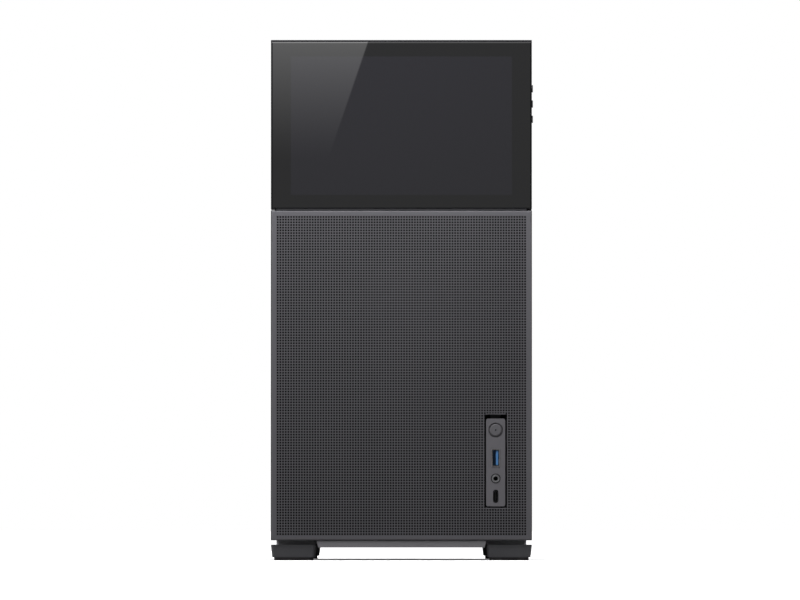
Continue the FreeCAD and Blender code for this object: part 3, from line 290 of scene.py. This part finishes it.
# painted shade: near-black for the crosses that stand in for screw recesses
black_plastic = moulded("black_plastic", (0.006, 0.006, 0.007), 0.5)
foot_plastic = moulded("foot_plastic", (0.066, 0.066, 0.072), 0.5, other=painted_light_neck)
neck_plastic = moulded("filter_plastic", (0.022, 0.022, 0.024), 0.5, other=painted_light_pull)
strip_plastic = moulded("strip_plastic", (0.128, 0.124, 0.136), 0.45, 1600.0, 0.015)
button_plastic = moulded("button_plastic", (0.115, 0.112, 0.122), 0.38, 1600.0, 0.01)
side_button = moulded("side_button_plastic", (0.100, 0.098, 0.106), 0.4, 1600.0, 0.01)
rubber = moulded("pad_rubber", (0.048, 0.046, 0.050), 0.8, 700.0, 0.06)
cloth = woven("filter_cloth", (0.0010, 0.0010, 0.0011), 0.45)
nickel = plated("nickel_plate", (0.62, 0.61, 0.60), 0.28, (1.0, 0.05, 1.0))
black_zinc = plated("black_zinc", (0.06, 0.06, 0.065), 0.38, (1.0, 1.0, 0.1))
brass = plated("turned_brass", (0.78, 0.57, 0.26), 0.3, (0.1, 1.0, 1.0))
blue = moulded("blue_plastic", (0.07, 0.21, 0.46), 0.4, 900.0, 0.01)
jack_ring = plated("jack_ring", (0.52, 0.52, 0.54), 0.4, (1.0, 0.1, 1.0))
# painted shade: plated metal made dark, for the USB-C shell and the socket contacts that sit in shade
socket_metal_in_shade = plated("socket_metal_in_shade", (0.10, 0.10, 0.105), 0.45, (1.0, 0.05, 1.0))
black_gloss = moulded("socket_plastic", (0.010, 0.010, 0.011), 0.35, 900.0, 0.01)
light_pipe = Shader("light_pipe", (0.012, 0.012, 0.014), 0.2)
light_pipe.vary_colour(light_pipe.noise(500.0), 0.05)
nylon = moulded("natural_nylon", (0.34, 0.33, 0.31), 0.5, 500.0, 0.03)
glass_black = black_glass("screen_glass")
glass_side = tinted_glass("side_glass")
board_green = circuit_board("circuit_board")
display = moulded("display_slab", (0.02, 0.02, 0.022), 0.25, 900.0, 0.005)

finish_of = {
    steel_grey: ["right_side_panel", "rear_panel"],
    front_grey: ["front_mesh_panel"],
    cover_grey: ["top_cover"],
    steel_black: [
        "base_pan", "top_frame", "front_frame", "motherboard_tray", "psu_bracket", "drive_tray",
        "ssd_bracket_lower", "ssd_bracket_upper", "filter_rails", "glass_panel_frame",
        *[f"slot_cover_{number}" for number in range(1, 8)],
    ],
    lip_plastic: ["screen_housing"],
    glass_black: ["screen_cover_glass"],
    glass_side: ["glass_side_panel"],
    display: ["display_panel"],
    black_gloss: ["power_inlet", "power_switch", "usb_c_tongue"],
    neck_plastic: ["filter_frame"],
    foot_plastic: [f"foot_{end}_{side}" for end in ("front", "rear") for side in ("left", "right")],
    rubber: [f"foot_pad_{end}_{side}" for end in ("front", "rear") for side in ("left", "right")],
    strip_plastic: ["io_housing"],
    button_plastic: ["power_button"],
    side_button: [f"screen_button_{number}" for number in (1, 2, 3)],
    cloth: ["front_dust_filter", "filter_mesh"],
    nickel: ["usb_a_shell", "power_inlet_pins", "screen_board_ports"],
    socket_metal_in_shade: ["usb_c_shell"],
    black_zinc: ["slot_thumbscrews"],
    brass: ["motherboard_standoffs"],
    blue: ["usb_a_tongue"],
    jack_ring: ["audio_jack"],
    board_green: ["screen_board", "io_board", "screen_button_board"],
    light_pipe.material: ["power_light"],
    nylon: ["panel_sockets"],
}
for material, names in finish_of.items():
    for name in names:
        slots = nodes[name].data.materials
        for index in range(len(slots)):
            slots[index] = material


# ---------------------------------------------------------------- geometry helpers

def make(name, mesh, material, body, smooth=False):
    """A piece of the object from a bmesh."""
    data = bpy.data.meshes.new(name)
    mesh.to_mesh(data)
    mesh.free()
    if smooth:
        for face in data.polygons:
            face.use_smooth = True
    piece = bpy.data.objects.new(name, data)
    bpy.context.collection.objects.link(piece)
    data.materials.append(material)
    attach(piece, body)


def block(mesh, x, y, z):
    """A block between the low and high value of each axis, in mm."""
    corners = [mesh.verts.new((a * MM, b * MM, c * MM)) for a in x for b in y for c in z]
    for face in ((0, 1, 3, 2), (4, 6, 7, 5), (0, 4, 5, 1), (2, 3, 7, 6), (0, 2, 6, 4), (1, 5, 7, 3)):
        mesh.faces.new([corners[index] for index in face])


def around(centre, size):
    return (centre - size / 2, centre + size / 2)


def turned(mesh, seat, axis, profile, segments=24):
    """A turned form: profile is a list of (radius, distance along the axis), in mm."""
    turn = Vector((0, 0, 1)).rotation_difference(Vector(axis)).to_matrix().to_4x4()
    place = Matrix.Translation(Vector(seat) * MM) @ turn
    rings = []
    for radius, distance in profile:
        if radius < 1e-6:
            rings.append([mesh.verts.new(place @ Vector((0, 0, distance * MM)))])
            continue
        ring = []
        for number in range(segments):
            angle = 2 * math.pi * number / segments
            spot = Vector((radius * math.cos(angle), radius * math.sin(angle), distance)) * MM
            ring.append(mesh.verts.new(place @ spot))
        rings.append(ring)
    for first, second in zip(rings, rings[1:]):
        for number in range(segments):
            after = (number + 1) % segments
            if len(first) == 1:
                mesh.faces.new([first[0], second[after], second[number]])
            elif len(second) == 1:
                mesh.faces.new([first[number], first[after], second[0]])
            else:
                mesh.faces.new([first[number], first[after], second[after], second[number]])


def recess_shade_cross(mesh, seat, axis, size, up):
    """A raised-edge cross that reads as the recess of a screw head; drawn black, it is painted shade for
    that recess.
    """
    along = Vector(axis)
    side = Vector(up)
    other = along.cross(side)
    for first, second in ((side, other), (other, side)):
        corners = []
        for sign_a, sign_b in ((-1, -1), (1, -1), (1, 1), (-1, 1)):
            spot = Vector(seat) + first * sign_a * size + second * sign_b * size * 0.22
            corners.append(mesh.verts.new((spot + along * 0.03) * MM))
        mesh.faces.new(corners)


# ---------------------------------------------------------------- main values, as in the solids

low = {name: [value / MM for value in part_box(name)[0]] for name in nodes}
high = {name: [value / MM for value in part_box(name)[1]] for name in nodes}
front_y = low["front_mesh_panel"][1]
panel_z = (low["front_mesh_panel"][2], high["front_mesh_panel"][2])
half_width = 102.5
frame_y = -202.0
rear_y = 216.0
strip_centre_x = 74.0
usb_a_height = 80.5
jack_height = 64.3
usb_c_height = 50.3
slot_pitch = 20.32
camera_distance = 7300.0
camera_height = 27.0
camera_x = -1.1
pitch = 2.112
hole = 1.45
border = 4.2
strip_x = (low["io_housing"][0], high["io_housing"][0])
cut_out_x = (strip_x[0] - 1.2, strip_x[1] + 1.2)
cut_out_z = (42.4 - 1.2, 111.3 + 3.3)


def bars_between(span, count):
    """The bars that part a number of holes evenly between two ends."""
    step = (span[1] - span[0] - hole) / (count - 1)
    return [(span[0] + number * step + hole, span[0] + (number + 1) * step) for number in range(count - 1)]


def front_bars():
    """The cross bars that make square holes of the slots in the front panel."""
    mesh = bmesh.new()
    field_x = (-half_width + border, half_width - border)
    field_z = (panel_z[0] + border, panel_z[1] - border)
    y = (front_y + 0.02, front_y + 0.98)
    for z in bars_between(field_z, 119):
        if z[1] > cut_out_z[0] and z[0] < cut_out_z[1]:
            block(mesh, (field_x[0] - 0.1, cut_out_x[0]), y, z)
            block(mesh, (cut_out_x[1], field_x[1] + 0.1), y, z)
        else:
            block(mesh, (field_x[0] - 0.1, field_x[1] + 0.1), y, z)
    make("front_mesh_bars", mesh, front_grey, "front_panel")


def top_bars():
    """The ribs and cross bars that make square holes of the slots in the top cover."""
    mesh = bmesh.new()
    top = high["top_cover"][2]
    z = (top - 1.38, top - 0.02)
    columns = int((2 * half_width - 36.0) / (2 * pitch))
    field_y = (frame_y + 26.0, rear_y - 26.0)
    reach = (columns - 1) / 2 * 2 * pitch + (pitch + hole) / 2
    for number in range(columns):
        middle = (number - (columns - 1) / 2) * 2 * pitch
        block(mesh, around(middle, pitch - hole), field_y, z)
    for y in bars_between(field_y, 173):
        block(mesh, (-reach, reach), y, z)
    make("top_cover_bars", mesh, cover_grey, "top_panel")


def side_bars():
    """The ribs and cross bars in the vents of the right panel."""
    mesh = bmesh.new()
    x = (half_width - 0.98, half_width - 0.02)
    start = frame_y + 22.0
    field_z = (200.0, 350.0)
    for number in range(18):
        middle = start + number * 2 * pitch + (pitch + hole) / 2
        block(mesh, x, around(middle, pitch - hole), field_z)
    for z in bars_between(field_z, 71):
        block(mesh, x, (start, start + 17 * 2 * pitch + pitch + hole), z)
    make("right_panel_bars", mesh, steel_grey, "right_panel")


front_bars()
top_bars()
side_bars()


# ---------------------------------------------------------------- fasteners

def rivets(name, places, axis, radius):
    """Domed rivet heads with a dimple, in the colour of the rear panel."""
    mesh = bmesh.new()
    for seat in places:
        profile = [
            (radius, 0), (radius, 0.15), (radius * 0.8, 0.5),
            (radius * 0.35, 0.62), (radius * 0.3, 0.3), (0, 0.3),
        ]
        turned(mesh, seat, axis, profile, 20)
    make(name, mesh, steel_grey, "chassis", True)


def pan_screws(name, places, axis, radius, up):
    """Pan head screws, and the black crosses in their heads, painted shade for the recesses."""
    mesh = bmesh.new()
    for seat in places:
        profile = [(radius, 0), (radius, 0.7), (radius * 0.86, 1.15), (radius * 0.5, 1.3), (0, 1.3)]
        turned(mesh, seat, axis, profile, 24)
    make(name, mesh, black_zinc, "chassis", True)
    mesh = bmesh.new()
    for seat in places:
        recess_shade_cross(mesh, [s + a * 1.3 for s, a in zip(seat, axis)], axis, radius * 0.55, up)
    make(name + "_recess_shade", mesh, black_plastic, "chassis")


rivets("rear_rivets", [(x, rear_y, z) for x in (-91.5, 91.5) for z in (24.0, 200.0, 392.0)]
       + [(x, rear_y, z) for x in (-40.0, 40.0) for z in (22.7, 394.0)], (0, 1, 0), 2.4)
pan_screws("psu_bracket_screws", [(x, -200.0, 352.0) for x in (-83.7, 83.7)], (0, 1, 0), 3.0, (0, 0, 1))
tray_ears = [(x, y, 17.7) for x in (-56.9, 56.9) for y in (-168.0, -57.0)]
pan_screws("drive_tray_screws", tray_ears, (0, 0, 1), 2.8, (1, 0, 0))
pan_screws("inlet_screws", [(-72.0, 218.0, z) for z in (41.6, 82.4)], (0, 1, 0), 2.4, (0, 0, 1))
drive_corners = [(79.0, y, z) for y in (85.0, 155.0) for z in (28.5, 107.5, 120.5, 199.5)]
pan_screws("small_drive_screws", drive_corners, (1, 0, 0), 2.4, (0, 0, 1))
board_posts = [(x, -209.6, z) for x in (-46.0, 46.0) for z in (317.4, 365.4)]
pan_screws("screen_board_screws", board_posts, (0, -1, 0), 1.8, (0, 0, 1))


def thumbscrew_details():
    """The knurled edge and the cross of each thumbscrew; the cross is black, painted shade for its recess.
    """
    ridges = bmesh.new()
    crosses = bmesh.new()
    x = (low["slot_thumbscrews"][0] + high["slot_thumbscrews"][0]) / 2
    for number in range(7):
        z = 194.25 - 14.4 - slot_pitch * number
        for step in range(30):
            angle = 2 * math.pi * step / 30
            edges = []
            for y in (rear_y + 0.5, rear_y + 3.6):
                for turn, reach in ((-0.07, 3.99), (0.0, 4.18), (0.07, 3.99)):
                    spot = (x + reach * math.cos(angle + turn), y, z + reach * math.sin(angle + turn))
                    edges.append(ridges.verts.new(Vector(spot) * MM))
            ridges.faces.new([edges[0], edges[1], edges[4], edges[3]])
            ridges.faces.new([edges[1], edges[2], edges[5], edges[4]])
            ridges.faces.new([edges[3], edges[4], edges[5]])
            ridges.faces.new([edges[2], edges[1], edges[0]])
        recess_shade_cross(crosses, (x, rear_y + 3.972, z), (0, 1, 0), 2.1, (0, 0, 1))
    make("thumbscrew_knurls", ridges, black_zinc, "chassis")
    make("thumbscrew_recess_shade", crosses, black_plastic, "chassis")


thumbscrew_details()


# ---------------------------------------------------------------- sockets

def socket_details():
    """The contacts of the two sockets, the ring of the jack and its lining."""
    contacts = bmesh.new()
    for number in range(4):
        z = usb_a_height + (number - 1.5) * 2.3
        block(contacts, (73.98, 74.2), (-218.6, -210.0), around(z, 1.1))
    for number in range(12):
        z = usb_c_height + (number - 5.5) * 0.5
        block(contacts, (73.6, 74.4), (-217.7, -212.0), around(z, 0.26))
    make("socket_contacts", contacts, socket_metal_in_shade, "chassis")
    rim = bmesh.new()
    x = around(strip_centre_x, 6.5)
    z = around(usb_a_height, 13.9)
    y = (front_y + 0.02, front_y + 0.5)
    for side_x, side_z in (
        ((x[0], x[0] + 0.55), z),
        ((x[1] - 0.55, x[1]), z),
        ((x[0] + 0.55, x[1] - 0.55), (z[0], z[0] + 0.55)),
        ((x[0] + 0.55, x[1] - 0.55), (z[1] - 0.55, z[1])),
    ):
        block(rim, side_x, y, side_z)
    make("usb_a_rim", rim, jack_ring, "chassis")
    # painted shade: a black ring in the gap round the jack's rim
    gap_shade = bmesh.new()
    profile = [(3.75, 0.0), (3.7, 0.1), (3.05, 0.1)]
    turned(gap_shade, (strip_centre_x, -219.7, jack_height), (0, -1, 0), profile, 40)
    make("jack_gap_shade", gap_shade, black_gloss, "chassis", True)
    ring = bmesh.new()
    profile = [(3.08, 0.0), (3.08, 0.06), (2.9, 0.16), (2.1, 0.16), (1.86, 0.02)]
    turned(ring, (strip_centre_x, -219.8, jack_height), (0, -1, 0), profile, 40)
    make("jack_rim", ring, jack_ring, "chassis", True)
    cup = bmesh.new()
    profile = [(1.79, 0.0), (1.79, 6.0), (0.0, 6.0)]
    turned(cup, (strip_centre_x, -219.0, jack_height), (0, 1, 0), profile, 32)
    make("jack_lining", cup, black_gloss, "chassis", True)


socket_details()


# ---------------------------------------------------------------- floor, light and camera

def emitter(name, strength):
    """A white emission material, with its tree and node for what drives the strength."""
    material = bpy.data.materials.new(name)
    material.use_nodes = True
    tree = material.node_tree
    tree.nodes.clear()
    out = tree.nodes.new("ShaderNodeOutputMaterial")
    emission = tree.nodes.new("ShaderNodeEmission")
    emission.inputs["Color"].default_value = (1, 1, 1, 1)
    emission.inputs["Strength"].default_value = strength
    tree.links.new(emission.outputs["Emission"], out.inputs["Surface"])
    return material, tree, emission


def maths(tree, operation, first, second=None):
    node = tree.nodes.new("ShaderNodeMath")
    node.operation = operation
    for index, value in enumerate((first, second)):
        if value is None:
            continue
        if isinstance(value, (int, float)):
            node.inputs[index].default_value = value
        else:
            tree.links.new(value, node.inputs[index])
    return node.outputs["Value"]


def ramp(tree, value, start, end, low_value=0.0, high_value=1.0):
    node = tree.nodes.new("ShaderNodeMapRange")
    node.inputs["From Min"].default_value = start
    node.inputs["From Max"].default_value = end
    node.inputs["To Min"].default_value = low_value
    node.inputs["To Max"].default_value = high_value
    tree.links.new(value, node.inputs["Value"])
    return node.outputs["Result"]


def floor():
    """A white floor that keeps a soft contact shadow; its glow for the camera is weaker near the case, a
    painted shadow that adds to the real one.
    """
    data = bpy.data.meshes.new("floor")
    size = 40.0
    corners = [(-size, -size, 0), (size, -size, 0), (size, size, 0), (-size, size, 0)]
    data.from_pydata(corners, [], [(0, 1, 2, 3)])
    plane = bpy.data.objects.new("floor", data)
    bpy.context.collection.objects.link(plane)
    material = bpy.data.materials.new("floor")
    material.use_nodes = True
    tree = material.node_tree
    tree.nodes.clear()
    out = tree.nodes.new("ShaderNodeOutputMaterial")
    diffuse = tree.nodes.new("ShaderNodeBsdfDiffuse")
    path = tree.nodes.new("ShaderNodeLightPath")
    shade = ramp(tree, path.outputs["Is Camera Ray"], 0, 1, 0.18, 0.85)
    tree.links.new(shade, diffuse.inputs["Color"])
    emission = tree.nodes.new("ShaderNodeEmission")
    place = tree.nodes.new("ShaderNodeTexCoord")
    parts = tree.nodes.new("ShaderNodeSeparateXYZ")
    tree.links.new(place.outputs["Object"], parts.inputs["Vector"])
    squares = []
    for axis, reach in (("X", 0.1), ("Y", 0.215)):
        past = maths(tree, "SUBTRACT", maths(tree, "ABSOLUTE", parts.outputs[axis]), reach)
        squares.append(maths(tree, "POWER", maths(tree, "MAXIMUM", past, 0.0), 2.0))
    far = maths(tree, "SQRT", maths(tree, "ADD", squares[0], squares[1]))
    # painted shadow: the camera glow falls from 1.0 to 0.10 within half a metre of the case's footprint
    grow = ramp(tree, far, 0.0, 0.5, 0.10, 1.0)
    glow = maths(tree, "MULTIPLY", grow, path.outputs["Is Camera Ray"])
    tree.links.new(glow, emission.inputs["Strength"])
    both = tree.nodes.new("ShaderNodeAddShader")
    tree.links.new(diffuse.outputs["BSDF"], both.inputs[0])
    tree.links.new(emission.outputs["Emission"], both.inputs[1])
    tree.links.new(both.outputs["Shader"], out.inputs["Surface"])
    data.materials.append(material)


def world():
    """White for the camera, a dimmer plain room for light and reflections."""
    room = bpy.data.worlds.new("room")
    bpy.context.scene.world = room
    room.use_nodes = True
    tree = room.node_tree
    background = tree.nodes["Background"]
    path = tree.nodes.new("ShaderNodeLightPath")
    background.inputs["Color"].default_value = (1, 1, 1, 1)
    seen = maths(tree, "MAXIMUM", path.outputs["Is Camera Ray"], path.outputs["Is Transmission Ray"])
    room_light = ramp(tree, path.outputs["Is Glossy Ray"], 0, 1, 0.32, 0.10)
    lit = maths(tree, "MULTIPLY", room_light, maths(tree, "SUBTRACT", 1.0, seen))
    tree.links.new(maths(tree, "ADD", lit, seen), background.inputs["Strength"])


def area(name, place, target, size, power):
    """A soft light that the reflections don't show."""
    data = bpy.data.lights.new(name, "AREA")
    data.shape = "RECTANGLE"
    data.size, data.size_y = size
    data.energy = power
    lamp = bpy.data.objects.new(name, data)
    bpy.context.collection.objects.link(lamp)
    lamp.location = place
    lamp.rotation_euler = (Vector(target) - Vector(place)).to_track_quat("-Z", "Y").to_euler()
    lamp.visible_glossy = False
    lamp.visible_camera = False


def card(name, corners, material):
    """A plane that only reflections see."""
    data = bpy.data.meshes.new(name)
    data.from_pydata([Vector(c) * MM for c in corners], [], [(0, 1, 2, 3)])
    data.materials.append(material)
    plane = bpy.data.objects.new(name, data)
    bpy.context.collection.objects.link(plane)
    plane.visible_camera = False
    plane.visible_diffuse = False
    plane.visible_transmission = False
    plane.visible_volume_scatter = False
    plane.visible_shadow = False


def reflections():
    """The soft box that the screen mirrors: a slanted edge on the left that fades downwards."""
    distance = 600.0
    grow = 1 + distance / camera_distance

    def seen(x, z):
        return (x * grow, z + (z - camera_height) * distance / camera_distance)

    material, tree, emission = emitter("soft_box_in_front", 1.0)
    place = tree.nodes.new("ShaderNodeTexCoord")
    parts = tree.nodes.new("ShaderNodeSeparateXYZ")
    tree.links.new(place.outputs["Object"], parts.inputs["Vector"])
    top = seen(-26.3, 406.9)
    bottom = seen(-53.8, 326.3)
    slope = (top[0] - bottom[0]) / (top[1] - bottom[1])
    lean = maths(tree, "MULTIPLY", parts.outputs["Z"], slope)
    past = maths(tree, "SUBTRACT", parts.outputs["X"], lean)
    edge = (top[0] - slope * top[1]) * MM
    side = ramp(tree, past, edge + 0.5 * MM, edge - 0.5 * MM)
    fade_low = seen(0, 312.0)[1] * MM
    fade_high = seen(0, 407.0)[1] * MM
    fade = maths(tree, "POWER", ramp(tree, parts.outputs["Z"], fade_low, fade_high), 1.5)
    strength = maths(tree, "MULTIPLY", maths(tree, "MULTIPLY", side, fade), 1.95)
    base = maths(tree, "ADD", strength, 0.57)
    tree.links.new(base, emission.inputs["Strength"])
    y = front_y - distance
    card("soft_box_front", [(-160, y, 250), (160, y, 250), (160, y, 460), (-160, y, 460)], material)
    left, _, _ = emitter("soft_box_above_left", 4.6)
    right, _, _ = emitter("soft_box_above_right", 1.7)
    z = 1100.0
    card("soft_box_top_left", [(-500, -330, z), (-29, -330, z), (-29, -100, z), (-500, -100, z)], left)
    card("soft_box_top_right", [(-29, -330, z), (500, -330, z), (500, -100, z), (-29, -100, z)], right)


floor()
world()
reflections()
area("key", (-0.04, -0.46, 0.56), (-0.01, -0.22, 0.24), (0.34, 0.12), 2.45)
area("front_fill", (-1.4, -1.4, 0.6), (0.0, -0.22, 0.12), (0.8, 0.6), 6.0)
area("left_fill", (-1.6, 0.25, 0.9), (-0.1, 0.0, 0.2), (1.2, 1.2), 26.0)
area("right_fill", (1.6, 0.25, 0.9), (0.1, 0.0, 0.2), (1.2, 1.2), 22.0)
area("back_fill", (0.3, 1.8, 1.2), (0.0, 0.2, 0.2), (1.4, 1.2), 30.0)
area("top_fill", (0.0, 0.1, 1.8), (0.0, 0.0, 0.4), (1.6, 1.6), 20.0)


def camera():
    data = bpy.data.cameras.new("camera")
    data.lens = 418.5
    data.sensor_width = 36.0
    data.clip_start = 0.1
    data.clip_end = 100.0
    view = bpy.data.objects.new("camera", data)
    bpy.context.collection.objects.link(view)
    aim = Vector((camera_x, -220.0, 204.4)) * MM
    view.location = Vector((camera_x, -220.0 - camera_distance, camera_height)) * MM
    view.rotation_euler = (aim - view.location).to_track_quat("-Z", "Y").to_euler()
    bpy.context.scene.camera = view


camera()
bpy.context.scene.view_settings.view_transform = "Standard"
